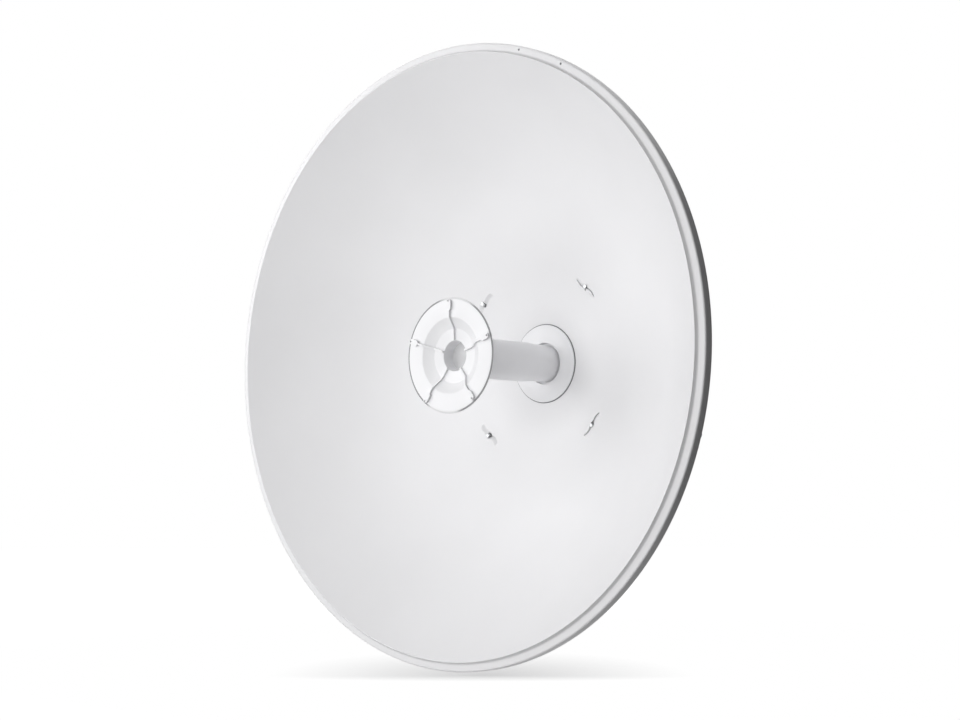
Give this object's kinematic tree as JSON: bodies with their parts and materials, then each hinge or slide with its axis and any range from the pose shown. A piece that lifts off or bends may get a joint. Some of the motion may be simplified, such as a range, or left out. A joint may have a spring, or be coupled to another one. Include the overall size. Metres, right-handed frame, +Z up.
{
  "type": "microwave dish antenna",
  "caption": "Parabolic microwave dish antenna with a rear feed tube and splash disc, on a tilting bracket that clamps to a mast",
  "frame": {"origin": "middle of the flat rear face of the mast yoke, where it bears on the mast", "axes": "+Z up, +Y from the dish towards the mast, the dish looks along -Y, +X to the right seen from in front"},
  "size_m": [0.65, 0.3795, 0.65],
  "materials": {
    "white_paint": "satin white powder coat",
    "white_plastic": "smooth white moulded plastic",
    "galvanised_steel": "galvanised, dull grey",
    "zinc_plated_steel": "bright zinc plating",
    "grey_casting": "grey coated casting",
    "nickel_plated_brass": "nickel plated"
  },
  "bodies": {
    "yoke": {"mast_yoke": "galvanised_steel", "pivot_bolt_left": "zinc_plated_steel", "pivot_bolt_right": "zinc_plated_steel", "pivot_nut_left": "zinc_plated_steel", "pivot_nut_right": "zinc_plated_steel", "pivot_spacer_left": "zinc_plated_steel", "pivot_spacer_right": "zinc_plated_steel", "clamp_jaw_upper": "galvanised_steel", "clamp_jaw_lower": "galvanised_steel", "clamp_bolt_1": "zinc_plated_steel", "clamp_bolt_2": "zinc_plated_steel", "clamp_bolt_3": "zinc_plated_steel", "clamp_bolt_4": "zinc_plated_steel", "clamp_nut_1": "zinc_plated_steel", "clamp_nut_2": "zinc_plated_steel", "clamp_nut_3": "zinc_plated_steel", "clamp_nut_4": "zinc_plated_steel", "clamp_washer_1": "zinc_plated_steel", "clamp_washer_2": "zinc_plated_steel", "clamp_washer_3": "zinc_plated_steel", "clamp_washer_4": "zinc_plated_steel"},
    "dish": {"reflector": "white_paint", "feed_base": "white_plastic", "feed_tube": "white_plastic", "feed_disc": "white_plastic", "dish_bracket": "galvanised_steel", "feed_housing": "grey_casting", "rf_connector_left": "nickel_plated_brass", "rf_connector_right": "nickel_plated_brass", "housing_screw_1": "zinc_plated_steel", "housing_screw_2": "zinc_plated_steel", "housing_screw_3": "zinc_plated_steel", "housing_screw_4": "zinc_plated_steel", "lock_bolt_left": "zinc_plated_steel", "lock_bolt_right": "zinc_plated_steel", "lock_nut_left": "zinc_plated_steel", "lock_nut_right": "zinc_plated_steel", "lock_spacer_left": "zinc_plated_steel", "lock_spacer_right": "zinc_plated_steel", "lock_washer_left": "zinc_plated_steel", "lock_washer_right": "zinc_plated_steel"}
  },
  "joints": [
    {"name": "elevation_tilt", "type": "hinge", "parent": "yoke", "child": "dish", "pos_m": [0, -0.06, -0.05], "axis": [-1, 0, 0], "range_deg": [-20, 20]}
  ]
}
